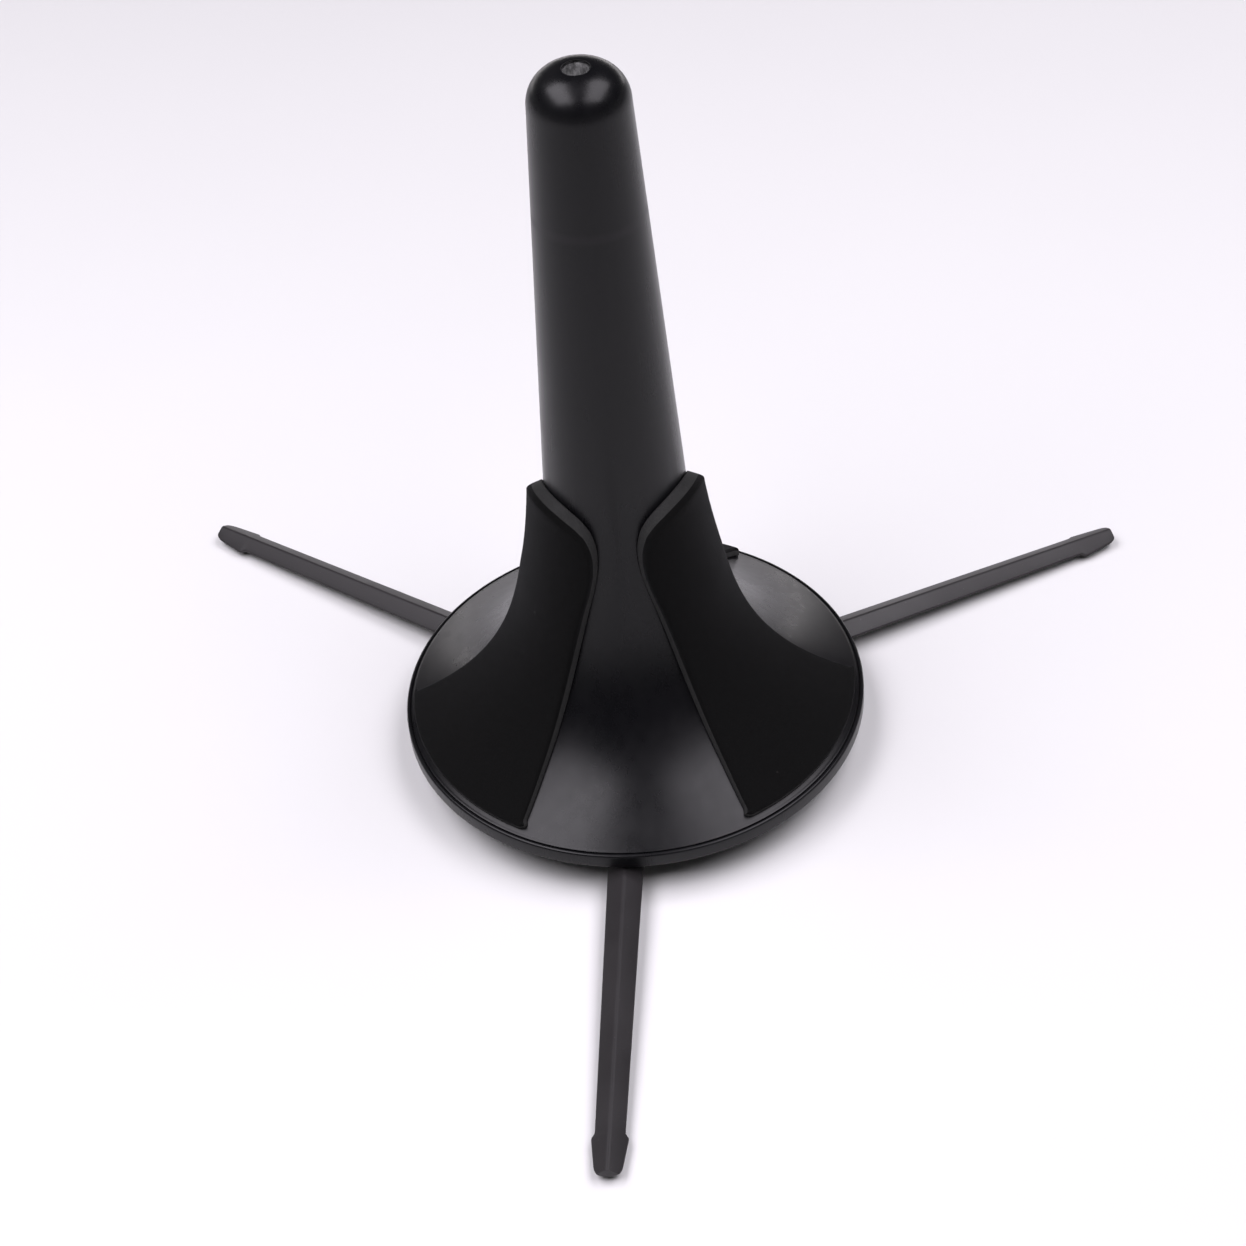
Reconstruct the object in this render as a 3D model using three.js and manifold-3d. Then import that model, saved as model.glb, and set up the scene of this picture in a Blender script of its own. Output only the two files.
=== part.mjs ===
// A folding stand that holds a trumpet by the inside of its bell.
//
// A hollow tapered peg with a flared skirt carries three velvet pads. A round hub plugs into the
// bottom of the peg, and three legs hinge in the hub. The legs spread under the skirt, whose rim
// keeps them down. With the peg lifted off, the legs fold up against each other into a round
// bundle, and the peg goes back over the bundle.
//
// Millimetres, +Z up. The origin is on the axis, in the underside of the hub, where the stand rests.
import * as THREE from "three";
import { mergeVertices } from "three/addons/utils/BufferGeometryUtils.js";
import Module from "manifold-3d";

const wasm = await Module();
wasm.setup();

// ---------------------------------------------------------------- driving dimensions

const GAP = 0.3; // between pieces that touch
const OVERLAP = 0.1; // shapes joined into one body run this far into each other

// Leg directions, in degrees round from +X. They stand a little off even thirds.
const LEG_ANGLES = { front: -96.1, right: 22, left: 141.5 };
// Pads, at even thirds, stuck on a few degrees round from halfway between the legs
const PAD_TURN = 5;
const PAD_ANGLES = { right: -38 + PAD_TURN, back: 82 + PAD_TURN, left: 202 + PAD_TURN };
const SCREW_ANGLES = { right: -38, back: 82, left: 202 };

// Hinges
const PIVOT_RADIUS = 5.6; // from the axis to a hinge pin
const PIVOT_HEIGHT = 4.6;
const LEG_DROOP = THREE.MathUtils.degToRad(2.5); // a spread leg slopes down from its hinge
const PIN_RADIUS = 1;
const PIN_HALF_LENGTH = 6;
const EYE_RADIUS = 2.5; // the round end of a leg, about its pin
const TONGUE_WIDTH = 6; // the narrow root of a leg, between the hub's ears
const GUSSET_LENGTH = 5.2; // the gusset under a leg runs this far out from its pin
const GUSSET_TOP = 0.6;
const EAR_RADIUS = 4; // the hub's ears, about the pins

// Legs: each is a third of a round tapered rod, with its ridge up when spread
const LEG_LENGTH = 131.4; // from the pin to the end
const LEG_WIDE_START = 4.8; // from the pin to where the leg takes its full width
const ROOT_DEPTH = 5.8; // from the ridge to the round underside
const FOOT_START_DEPTH = 4.25;
const FOOT_DEPTH = 5.1; // the barb of the foot
const FOOT_LENGTH = 10;
const FOOT_STEP = 0.7; // the barb rises over this length
const FOOT_END_DEPTH = 4;
const FOOT_NOSE = 1.5; // the last stretch, which rounds the end
const FOOT_NOSE_DEPTH = 3.1;

// Hub
const HUB_RADIUS = 20;
const HUB_TOP = 10.4; // the shoulder that the peg's socket sits on
const SLOT_WIDTH = 10.6; // for the full width of a leg
const SLOT_FLOOR = 3.7;
const WEB_START = 11.5; // from the axis to the floor of a slot
const PRONG_RADIUS = 14.7;
const PRONG_TOP = 28;
const PRONG_BORE = 6.3; // the folded legs stand in it
const BEAD_RADIUS = 15.2;
const BEAD_HEIGHT = 23;
const COVER_RADIUS = 15.7;
const COVER_THICKNESS = 1.8;
const POST_TOP = 3.3; // the cover's posts end just under the pins

// Cover screws
const SCREW_PLACE = 12.2; // from the axis
const SCREW_RADIUS = 1;
const SCREW_LENGTH = 8;
const SCREW_HEAD_RADIUS = 2.1;
const SCREW_HEAD_DEPTH = 1.2;
const SCREW_RECESS = 0.3; // the heads sit this far up inside the cover
const DRIVE_WIDTH = 0.7; // the cross in a screw's head
const DRIVE_SPAN = 2.6;
const DRIVE_DEPTH = 0.7;

// Peg and skirt
const RIM_RADIUS = 56;
const RIM_BOTTOM = ridgeHeight(RIM_RADIUS) + GAP;
const PEG_HEIGHT = 177.6; // above the rim's bottom edge
const PEG_TOP = RIM_BOTTOM + PEG_HEIGHT;
const WALL = 2.2;
const TAPER = 0.0548; // the peg widens by this much for each mm down
const PEG_RADIUS_AT_TOP = 10.5; // where the tapered side would meet the top
const DOME_RADIUS = 8;
const RECESS_RADIUS = 3.1; // in the middle of the top
const RECESS_DEPTH = 0.5;
const NECK = 68; // the flare starts this far above the rim's bottom edge
const FLARE_SPREAD = 44.6;
const FLARE_DECAY = 17.4;
const FLARE_END = 3.9; // the flare stops this far above the rim's bottom edge
const GROOVE_WIDTH = 0.4;
const GROOVE_DEPTH = 0.35;
const BAND_ROUNDING = 0.6;
const RIM_CHAMFER = 0.5;
const SKIRT_WALL = 2;
const SKIRT_HOLLOW_TOP = 46; // the heights from here to the bore's end are above the rim's bottom edge
const SOCKET_TOP = 42;
const BORE_START = 60; // from here up the inside follows the taper
const BORE_END = 168;
const BORE_CHAMFER = 5;
const SOCKET_RADIUS = 15.5; // inside
const SOCKET_OUTER = 17.8;
const KEY_WIDTH = 8; // the keys stand in the leg slots
const KEY_INNER = 12.6;
const KEY_TOP = 26;
const RIB_THICKNESS = 1.6;
const RIB_BOTTOM = 4; // above the rim's bottom edge
const RIB_FOOT = 8; // the rib leaves the skirt here

// Pads
const CORE_FROM = 0.3; // off the shell
const PAD_RIM_THICKNESS = 1.7;
const PAD_TOP_THICKNESS = 3.9;
const PAD_FULL_HEIGHT = 45; // the pads reach their full thickness this far above the rim's bottom edge
const VELVET_THICKNESS = 0.7;
// Half of a pad's outline: height above the rim's bottom edge, and degrees from the pad's middle
const PAD_OUTLINE = [
  [4.5, 30.8], [14, 30], [26, 30.6], [36, 33], [45, 37.1], [54, 43], [59, 45.2],
  [63.5, 45], [67.3, 41.6], [70.3, 34.4], [72.5, 22.2], [73.6, 10], [73.9, 0],
];
const PAD_EDGE_INSET = 0.3; // the velvet stops this far short of the foam's edge
// A pad's walls lean in by this much for each mm off the shell, at its sides and at its top
const PAD_SIDE_LEAN = 0.15;
const PAD_TOP_LEAN = 0.5;
const LAST_STRIP = 0.985; // the share of the outline where the last strip across a pad ends

const PLASTIC = { color: 0x17171a, roughness: 0.38, metalness: 0 };
const LEG_PLASTIC = { color: 0x2c2b2d, roughness: 0.55, metalness: 0 };
const FOAM = { color: 0x1d1d1e, roughness: 0.9, metalness: 0 };
const VELVET = { color: 0x101012, roughness: 1, metalness: 0 };
const STEEL = { color: 0x9a9b9d, roughness: 0.35, metalness: 1 };

const stand = new THREE.Group();

// ---------------------------------------------------------------- helpers

function toSolid(geometry) {
  const bare = geometry.index ? geometry.clone() : geometry;
  bare.deleteAttribute("normal");
  bare.deleteAttribute("uv");
  const merged = mergeVertices(bare, 1e-5);
  return new wasm.Manifold(new wasm.Mesh({
    numProp: 3,
    vertProperties: Float32Array.from(merged.attributes.position.array),
    triVerts: Uint32Array.from(merged.index.array),
  }));
}

function toGeometry(solid) {
  const mesh = solid.getMesh();
  const geometry = new THREE.BufferGeometry();
  geometry.setAttribute("position", new THREE.BufferAttribute(mesh.vertProperties, 3));
  geometry.setIndex(new THREE.BufferAttribute(mesh.triVerts, 1));
  geometry.computeVertexNormals();
  return geometry;
}

function addMesh(name, geometry, finish, angle = 0) {
  const mesh = new THREE.Mesh(geometry, new THREE.MeshStandardMaterial(finish));
  mesh.name = name;
  mesh.rotation.z = THREE.MathUtils.degToRad(angle);
  stand.add(mesh);
}

function box(x0, x1, y0, y1, z0, z1) {
  const geometry = new THREE.BoxGeometry(x1 - x0, y1 - y0, z1 - z0);
  return toSolid(geometry.translate((x0 + x1) / 2, (y0 + y1) / 2, (z0 + z1) / 2));
}

// An upright round solid, standing at (x, 0)
function disc(radius, z0, z1, x = 0, sides = 36) {
  const geometry = new THREE.CylinderGeometry(radius, radius, z1 - z0, sides);
  return toSolid(geometry.rotateX(Math.PI / 2).translate(x, 0, (z0 + z1) / 2));
}

// A round solid along Y, about the hinge pin of a leg that points along +X
function pinDisc(radius, halfLength, sides = 20) {
  const geometry = new THREE.CylinderGeometry(radius, radius, 2 * halfLength, sides);
  return toSolid(geometry.translate(PIVOT_RADIUS, 0, 0).translate(0, 0, PIVOT_HEIGHT));
}

// A solid turned about Z from [radius, height] points that start and end on the axis or close
function turned(points, sides) {
  const geometry = new THREE.LatheGeometry(points.map(([r, z]) => new THREE.Vector2(r, z)), sides);
  return toSolid(geometry.rotateX(Math.PI / 2));
}

function around(solid, angle) {
  return solid.rotate([0, 0, angle]);
}

function aroundAll(solid, angles) {
  const [first, ...rest] = Object.values(angles).map((angle) => around(solid, angle));
  return rest.reduce((sum, next) => sum.add(next), first);
}

// The height of a spread leg's ridge at a distance from the axis
function ridgeHeight(radius) {
  const start = PIVOT_HEIGHT + PIVOT_RADIUS / Math.cos(LEG_DROOP);
  return start - (radius - PIVOT_RADIUS) * Math.tan(LEG_DROOP);
}

// ---------------------------------------------------------------- legs

// The leg lies along +X with its pin at the origin and its ridge PIVOT_RADIUS above the pin.
function makeLeg() {
  const footStart = LEG_LENGTH - FOOT_LENGTH;
  const outline = [
    [0, 0],
    [ROOT_DEPTH, 0],
    [FOOT_START_DEPTH, footStart],
    [FOOT_DEPTH, footStart + FOOT_STEP],
    [FOOT_END_DEPTH, LEG_LENGTH - FOOT_NOSE],
    [FOOT_NOSE_DEPTH, LEG_LENGTH],
    [0, LEG_LENGTH],
  ];
  const rod = turned(outline, 36).rotate([0, 90, 0]).translate([0, 0, PIVOT_RADIUS]);
  let leg = rod.intersect(makeThird());
  for (const side of [-1, 1]) {
    const inner = side * TONGUE_WIDTH / 2;
    const outer = side * ROOT_DEPTH;
    leg = leg.subtract(box(-1, LEG_WIDE_START, Math.min(inner, outer), Math.max(inner, outer), -9, 9));
  }
  leg = leg.add(makeEye());
  const hole = new THREE.CylinderGeometry(PIN_RADIUS + GAP, PIN_RADIUS + GAP, 2 * ROOT_DEPTH, 16);
  leg = leg.subtract(toSolid(hole));
  leg = leg.rotate([0, THREE.MathUtils.radToDeg(LEG_DROOP), 0]);
  leg = leg.translate([PIVOT_RADIUS, 0, PIVOT_HEIGHT]);
  const ground = box(0, 2 * LEG_LENGTH, -10, 10, -10, 0);
  return toGeometry(leg.subtract(ground));
}

// A wedge of 120 degrees under the ridge line, set in a little so that folded legs don't touch
function makeThird() {
  const width = 2 * ROOT_DEPTH;
  const top = PIVOT_RADIUS - GAP;
  const shape = new THREE.Shape();
  shape.moveTo(0, top);
  shape.lineTo(-width, top - width / Math.sqrt(3));
  shape.lineTo(-width, -width);
  shape.lineTo(width, -width);
  shape.lineTo(width, top - width / Math.sqrt(3));
  const geometry = new THREE.ExtrudeGeometry(shape, { depth: LEG_LENGTH + 2, bevelEnabled: false });
  return toSolid(geometry.rotateX(Math.PI / 2).rotateZ(Math.PI / 2).translate(-1, 0, 0));
}

// The round end about the pin, and the gusset that runs out from it under the leg
function makeEye() {
  const eye = toSolid(new THREE.CylinderGeometry(EYE_RADIUS, EYE_RADIUS, TONGUE_WIDTH, 24));
  const shape = new THREE.Shape();
  shape.moveTo(0, -EYE_RADIUS);
  shape.lineTo(GUSSET_TOP, -EYE_RADIUS);
  shape.lineTo(GUSSET_LENGTH, -GUSSET_TOP / 2);
  shape.lineTo(GUSSET_LENGTH, GUSSET_TOP);
  shape.lineTo(0, GUSSET_TOP);
  const geometry = new THREE.ExtrudeGeometry(shape, { depth: TONGUE_WIDTH, bevelEnabled: false });
  geometry.rotateX(Math.PI / 2).translate(0, TONGUE_WIDTH / 2, 0);
  return eye.add(toSolid(geometry));
}

function makePin() {
  const geometry = new THREE.CylinderGeometry(PIN_RADIUS, PIN_RADIUS, 2 * PIN_HALF_LENGTH, 16);
  return geometry.translate(PIVOT_RADIUS, 0, PIVOT_HEIGHT);
}

// ---------------------------------------------------------------- hub

function makeHubBody() {
  const halfSlot = SLOT_WIDTH / 2;
  const coverTop = COVER_THICKNESS + GAP;
  const flange = disc(HUB_RADIUS, 0, HUB_TOP).subtract(disc(COVER_RADIUS + GAP, -1, coverTop));
  const prongs = disc(PRONG_RADIUS, HUB_TOP - 1, PRONG_TOP).add(makeBead());
  let body = flange.add(prongs).subtract(disc(PRONG_BORE, SLOT_FLOOR, PRONG_TOP + 1));
  const slot = box(0, HUB_RADIUS + 2, -halfSlot, halfSlot, SLOT_FLOOR, PRONG_TOP + 1);
  const throat = box(0, WEB_START, -halfSlot, halfSlot, COVER_THICKNESS, PRONG_TOP + 1);
  body = body.subtract(aroundAll(slot.add(throat), LEG_ANGLES));
  body = body.add(aroundAll(makeEars(), LEG_ANGLES));
  const halfTongue = TONGUE_WIDTH / 2 + GAP;
  const tongueRoom = box(0, WEB_START, -halfTongue, halfTongue, 0, PRONG_TOP);
  body = body.subtract(aroundAll(tongueRoom.add(makePinGroove()), LEG_ANGLES));
  const screwHole = disc(SCREW_RADIUS + GAP, 0, SCREW_LENGTH + SCREW_RECESS + GAP, SCREW_PLACE, 16);
  return toGeometry(body.subtract(aroundAll(screwHole, SCREW_ANGLES)));
}

// Two ears beside a leg's tongue, rounded about the pin and run down to the cover
function makeEars() {
  const reach = SLOT_WIDTH / 2 + OVERLAP;
  const inside = box(0, WEB_START, -reach, reach, COVER_THICKNESS + GAP, HUB_TOP);
  const round = pinDisc(EAR_RADIUS, reach, 24);
  const foot = box(PIVOT_RADIUS - EAR_RADIUS, PIVOT_RADIUS + EAR_RADIUS, -reach, reach, 0, PIVOT_HEIGHT);
  return round.add(foot).intersect(inside);
}

// The groove, open below, that a pin drops into
function makePinGroove() {
  const radius = PIN_RADIUS + GAP;
  const end = PIN_HALF_LENGTH + GAP;
  const mouth = box(PIVOT_RADIUS - radius, PIVOT_RADIUS + radius, -end, end, 0, PIVOT_HEIGHT);
  return pinDisc(radius, end).add(mouth);
}

// A rounded bead round the prongs, which grips the socket
function makeBead() {
  const rise = BEAD_RADIUS - PRONG_RADIUS;
  return turned([
    [0, BEAD_HEIGHT - 3 * rise],
    [PRONG_RADIUS - OVERLAP, BEAD_HEIGHT - 3 * rise],
    [BEAD_RADIUS, BEAD_HEIGHT - rise],
    [BEAD_RADIUS, BEAD_HEIGHT + rise],
    [PRONG_RADIUS - OVERLAP, BEAD_HEIGHT + 3 * rise],
    [0, BEAD_HEIGHT + 3 * rise],
  ], 36);
}

function makeHubCover() {
  let cover = disc(COVER_RADIUS, 0, COVER_THICKNESS);
  const postWidth = PIN_RADIUS;
  for (const side of [-1, 1]) {
    const inner = side * (TONGUE_WIDTH / 2 + 4 * GAP);
    const outer = side * (PIN_HALF_LENGTH - GAP / 2);
    const post = box(
      PIVOT_RADIUS - postWidth, PIVOT_RADIUS + postWidth,
      Math.min(inner, outer), Math.max(inner, outer),
      COVER_THICKNESS / 2, POST_TOP,
    );
    cover = cover.add(aroundAll(post, LEG_ANGLES));
  }
  const headRoom = turned([
    [0, -1],
    [SCREW_HEAD_RADIUS + GAP, -1],
    [SCREW_HEAD_RADIUS + GAP, SCREW_RECESS + GAP],
    [SCREW_RADIUS + GAP, SCREW_RECESS + SCREW_HEAD_DEPTH + GAP],
    [SCREW_RADIUS + GAP, COVER_THICKNESS + 1],
    [0, COVER_THICKNESS + 1],
  ], 16).translate([SCREW_PLACE, 0, 0]);
  return toGeometry(cover.subtract(aroundAll(headRoom, SCREW_ANGLES)));
}

// A countersunk screw, driven up through the cover, with a cross in its head
function makeScrew() {
  const head = SCREW_RECESS;
  let screw = turned([
    [0, head],
    [SCREW_HEAD_RADIUS, head],
    [SCREW_RADIUS, head + SCREW_HEAD_DEPTH],
    [SCREW_RADIUS, SCREW_LENGTH - SCREW_RADIUS],
    [SCREW_RADIUS / 3, SCREW_LENGTH],
    [0, SCREW_LENGTH],
  ], 16);
  const half = DRIVE_SPAN / 2;
  const arm = box(-half, half, -DRIVE_WIDTH / 2, DRIVE_WIDTH / 2, 0, head + DRIVE_DEPTH);
  screw = screw.subtract(arm.add(around(arm, 90)));
  return toGeometry(screw.translate([SCREW_PLACE, 0, 0]));
}

// ---------------------------------------------------------------- peg

// The outer radius of the peg's straight taper, at a height above the rim's bottom edge
function taperRadius(height) {
  return PEG_RADIUS_AT_TOP + (PEG_HEIGHT - height) * TAPER;
}

// The outer radius of the peg and skirt, at a height above the rim's bottom edge
function shellRadius(height) {
  const fade = (at) => Math.exp(-at / FLARE_DECAY);
  return taperRadius(height) + (height < NECK ? FLARE_SPREAD * (fade(height) - fade(NECK)) : 0);
}

// The outward direction of the shell's surface, as [radius, height]
function shellNormal(height) {
  const step = 0.05;
  const slope = (shellRadius(height + step) - shellRadius(height - step)) / (2 * step);
  const size = Math.hypot(1, slope);
  return [1 / size, -slope / size];
}

// A point off the shell's surface by a distance, as [radius, z]
function offShell(height, distance) {
  const [outward, upward] = shellNormal(height);
  return [shellRadius(height) + outward * distance, RIM_BOTTOM + height + upward * distance];
}

function arc(centreR, centreZ, radius, fromDegrees, toDegrees, steps) {
  return Array.from({ length: steps + 1 }, (_, i) => {
    const angle = THREE.MathUtils.degToRad(fromDegrees + (toDegrees - fromDegrees) * i / steps);
    return [centreR + radius * Math.cos(angle), centreZ + radius * Math.sin(angle)];
  });
}

// Heights down the flare, closer together where it curves most
function flareHeights(from, to, count) {
  return Array.from({ length: count + 1 }, (_, i) => from + (to - from) * (1 - (1 - i / count) ** 1.8));
}

function makePegShell() {
  const domeCentre = taperRadius(PEG_HEIGHT - DOME_RADIUS) - DOME_RADIUS;
  const grooveRadius = shellRadius(FLARE_END);
  const bandRadius = grooveRadius + GROOVE_WIDTH;
  const bandTop = RIM_BOTTOM + FLARE_END - GROOVE_DEPTH / 3;
  const outside = [
    [0, PEG_TOP - RECESS_DEPTH],
    [RECESS_RADIUS, PEG_TOP - RECESS_DEPTH],
    [RECESS_RADIUS + RECESS_DEPTH / 2, PEG_TOP],
    ...arc(domeCentre, PEG_TOP - DOME_RADIUS, DOME_RADIUS, 90, 3, 7),
    ...flareHeights(NECK, FLARE_END, 11).map((height) => offShell(height, 0)),
    [grooveRadius + OVERLAP, bandTop - GROOVE_DEPTH],
    [bandRadius - OVERLAP, bandTop - GROOVE_DEPTH],
    ...arc(RIM_RADIUS - BAND_ROUNDING, bandTop - BAND_ROUNDING, BAND_ROUNDING, 88, 0, 3),
    [RIM_RADIUS, RIM_BOTTOM + RIM_CHAMFER],
    [RIM_RADIUS - RIM_CHAMFER, RIM_BOTTOM],
  ];
  const hollowHeights = flareHeights(SKIRT_HOLLOW_TOP, FLARE_END, 7).reverse();
  const inside = [
    [RIM_RADIUS - SKIRT_WALL, RIM_BOTTOM],
    ...hollowHeights.map((height) => offShell(height, -SKIRT_WALL)),
    [SOCKET_OUTER, RIM_BOTTOM + SKIRT_HOLLOW_TOP],
    [SOCKET_OUTER, HUB_TOP + GAP],
    [SOCKET_RADIUS, HUB_TOP + GAP],
    [SOCKET_RADIUS, RIM_BOTTOM + SOCKET_TOP],
    [taperRadius(BORE_START) - WALL, RIM_BOTTOM + BORE_START],
    [taperRadius(BORE_END) - WALL, RIM_BOTTOM + BORE_END],
    [taperRadius(BORE_END) - WALL - BORE_CHAMFER / 2, RIM_BOTTOM + BORE_END + BORE_CHAMFER],
    [0, PEG_TOP - RECESS_DEPTH - WALL],
  ];
  let shell = turned([...outside, ...inside].reverse(), 48);
  const keyOuter = (SOCKET_RADIUS + SOCKET_OUTER) / 2;
  const key = box(KEY_INNER, keyOuter, -KEY_WIDTH / 2, KEY_WIDTH / 2, HUB_TOP + 2 * GAP, KEY_TOP);
  shell = shell.add(aroundAll(key, LEG_ANGLES));
  shell = shell.add(aroundAll(makeRib(), SCREW_ANGLES));
  return toGeometry(shell);
}

// A rib between the socket and the underside of the skirt
function makeRib() {
  const inner = (SOCKET_RADIUS + SOCKET_OUTER) / 2;
  const shape = new THREE.Shape();
  shape.moveTo(inner, RIM_BOTTOM + RIB_BOTTOM);
  shape.lineTo(offShell(RIB_FOOT, -SKIRT_WALL / 2)[0], RIM_BOTTOM + RIB_BOTTOM);
  for (const height of flareHeights(SOCKET_TOP, RIB_FOOT, 5).reverse()) {
    shape.lineTo(...offShell(height, -SKIRT_WALL / 2));
  }
  shape.lineTo(inner, RIM_BOTTOM + SOCKET_TOP);
  const geometry = new THREE.ExtrudeGeometry(shape, { depth: RIB_THICKNESS, bevelEnabled: false });
  return toSolid(geometry.rotateX(Math.PI / 2).translate(0, RIB_THICKNESS / 2, 0));
}

// ---------------------------------------------------------------- pads

function padThickness(height) {
  const share = Math.min(1, height / PAD_FULL_HEIGHT);
  return PAD_RIM_THICKNESS + (PAD_TOP_THICKNESS - PAD_RIM_THICKNESS) * share;
}

// A point of half a pad's outline, as height and half angle, set in by the walls' lean and an inset
function outlinePoint(curve, share, inset, distanceOf) {
  const at = curve.getPoint(share);
  const along = curve.getTangent(share);
  const radius = shellRadius(at.x);
  const across = THREE.MathUtils.degToRad(along.y) * radius;
  const size = Math.hypot(along.x, across);
  const facingUp = Math.max(0, -across / size);
  const lean = PAD_SIDE_LEAN + (PAD_TOP_LEAN - PAD_SIDE_LEAN) * facingUp;
  const step = inset + lean * (distanceOf(at.x) - CORE_FROM);
  const height = at.x + step * across / size;
  return [height, THREE.MathUtils.degToRad(at.y) - step * along.x / size / radius];
}

// A closed slab over the shell, between two distances off it. It is made of strips across the pad,
// each as wide as the outline is there.
function makePadLayer(nearOf, farOf, inset) {
  const curve = new THREE.CatmullRomCurve3(
    PAD_OUTLINE.map(([height, span]) => new THREE.Vector3(height, span, 0)), false, "centripetal",
  );
  const rows = 14;
  const columns = 6;
  const positions = [];
  for (const distanceOf of [nearOf, farOf]) {
    for (let i = 0; i <= rows; i += 1) {
      const [height, span] = outlinePoint(curve, LAST_STRIP * i / rows, inset, distanceOf);
      for (let j = 0; j <= columns; j += 1) {
        const angle = span * (2 * j / columns - 1);
        const [r, z] = offShell(height, distanceOf(height));
        positions.push(r * Math.cos(angle), r * Math.sin(angle), z);
      }
    }
  }
  const geometry = new THREE.BufferGeometry();
  geometry.setAttribute("position", new THREE.Float32BufferAttribute(positions, 3));
  geometry.setIndex(slabFaces(rows, columns));
  return geometry;
}

// The faces of a slab of two grids: the near one, the far one, and the edges between them
function slabFaces(rows, columns) {
  const faces = [];
  const at = (layer, i, j) => layer * (rows + 1) * (columns + 1) + i * (columns + 1) + j;
  const quad = (a, b, c, d) => faces.push(a, b, c, a, c, d);
  for (let i = 0; i < rows; i += 1) {
    for (let j = 0; j < columns; j += 1) {
      quad(at(0, i, j), at(0, i + 1, j), at(0, i + 1, j + 1), at(0, i, j + 1));
      quad(at(1, i, j), at(1, i, j + 1), at(1, i + 1, j + 1), at(1, i + 1, j));
    }
    quad(at(0, i, 0), at(1, i, 0), at(1, i + 1, 0), at(0, i + 1, 0));
    quad(at(0, i, columns), at(0, i + 1, columns), at(1, i + 1, columns), at(1, i, columns));
  }
  for (let j = 0; j < columns; j += 1) {
    quad(at(0, 0, j), at(0, 0, j + 1), at(1, 0, j + 1), at(1, 0, j));
    quad(at(0, rows, j), at(1, rows, j), at(1, rows, j + 1), at(0, rows, j + 1));
  }
  return faces;
}

function makePadCore() {
  return makePadLayer(() => CORE_FROM, (height) => padThickness(height) - VELVET_THICKNESS - GAP, 0);
}

function makePadVelvet() {
  return makePadLayer((height) => padThickness(height) - VELVET_THICKNESS, padThickness, PAD_EDGE_INSET);
}

// ---------------------------------------------------------------- the stand

addMesh("peg_shell", makePegShell(), PLASTIC);
addMesh("hub_body", makeHubBody(), PLASTIC);
addMesh("hub_cover", makeHubCover(), PLASTIC);
for (const [side, angle] of Object.entries(PAD_ANGLES)) {
  addMesh(`pad_core_${side}`, makePadCore(), FOAM, angle);
  addMesh(`pad_velvet_${side}`, makePadVelvet(), VELVET, angle);
}
for (const [side, angle] of Object.entries(SCREW_ANGLES)) {
  addMesh(`cover_screw_${side}`, makeScrew(), STEEL, angle);
}
for (const [side, angle] of Object.entries(LEG_ANGLES)) {
  addMesh(`hinge_pin_${side}`, makePin(), STEEL, angle);
  addMesh(`leg_${side}`, makeLeg(), LEG_PLASTIC, angle);
}

export default stand;
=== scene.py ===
# A folding trumpet stand, seen from the front and above: a black plastic peg with a flared skirt,
# velvet pads, a hub and spread legs. Lengths in the shape functions are millimetres, and MM turns
# them into metres when a mesh is made.
import math

import bmesh
import bpy
import numpy as np
from mathutils import Matrix, Vector
from mathutils.geometry import delaunay_2d_cdt


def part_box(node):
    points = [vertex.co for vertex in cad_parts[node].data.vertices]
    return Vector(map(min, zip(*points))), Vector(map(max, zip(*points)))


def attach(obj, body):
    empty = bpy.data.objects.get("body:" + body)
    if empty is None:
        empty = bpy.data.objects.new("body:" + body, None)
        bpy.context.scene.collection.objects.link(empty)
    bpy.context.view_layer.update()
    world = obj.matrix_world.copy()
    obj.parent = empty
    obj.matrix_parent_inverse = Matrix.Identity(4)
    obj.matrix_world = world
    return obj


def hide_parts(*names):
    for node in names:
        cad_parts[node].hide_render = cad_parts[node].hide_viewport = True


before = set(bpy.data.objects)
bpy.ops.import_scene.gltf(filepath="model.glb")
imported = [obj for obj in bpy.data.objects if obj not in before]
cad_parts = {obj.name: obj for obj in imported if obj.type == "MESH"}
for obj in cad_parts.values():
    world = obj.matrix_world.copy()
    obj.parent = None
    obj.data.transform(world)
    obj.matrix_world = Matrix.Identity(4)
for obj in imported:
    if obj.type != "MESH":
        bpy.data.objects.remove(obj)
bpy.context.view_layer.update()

MM = 0.001

# ---------------------------------------------------------------- sizes, in millimetres

PEG_LOW, PEG_HIGH = (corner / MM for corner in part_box("peg_shell"))
RIM_RADIUS = (PEG_HIGH.x - PEG_LOW.x) / 2
RIM_BOTTOM = PEG_LOW.z
PEG_TOP = PEG_HIGH.z
PEG_HEIGHT = PEG_TOP - RIM_BOTTOM

TAPER = 0.0548  # the peg widens by this much for each mm down
PEG_RADIUS_AT_TOP = 10.5
DOME_RADIUS = 8
RECESS_RADIUS = 3.1  # in the middle of the top
RECESS_DEPTH = 0.5
RECESS_EDGE = 0.25  # the rounding of the recess's edge
FAINT_RING = 144  # a faint ring round the peg, above the rim's bottom edge
NECK = 68  # the flare starts this far above the rim's bottom edge
FLARE_SPREAD = 44.6
FLARE_DECAY = 17.4
FLARE_END = 3.9
GROOVE_WIDTH = 0.4
GROOVE_DEPTH = 0.35
GROOVE_EDGE = 0.2  # the rounding of the groove's edges
BAND_ROUNDING = 0.6
RIM_CHAMFER = 0.5
SKIRT_WALL = 2
WALL = 2.2
SKIRT_HOLLOW_TOP = 46
SOCKET_TOP = 42
BORE_START = 60
BORE_END = 168
BORE_CHAMFER = 5
SOCKET_RADIUS = 15.5
SOCKET_OUTER = 17.8
SOCKET_BOTTOM = 10.7  # above the surface the stand rests on
SOCKET_CHAMFER = 0.3
KEY_WIDTH = 8
KEY_CHAMFER = 0.4
KEY_INNER = 12.6
KEY_TOP = 26
RIB_THICKNESS = 1.6
RIB_BOTTOM = 4
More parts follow.
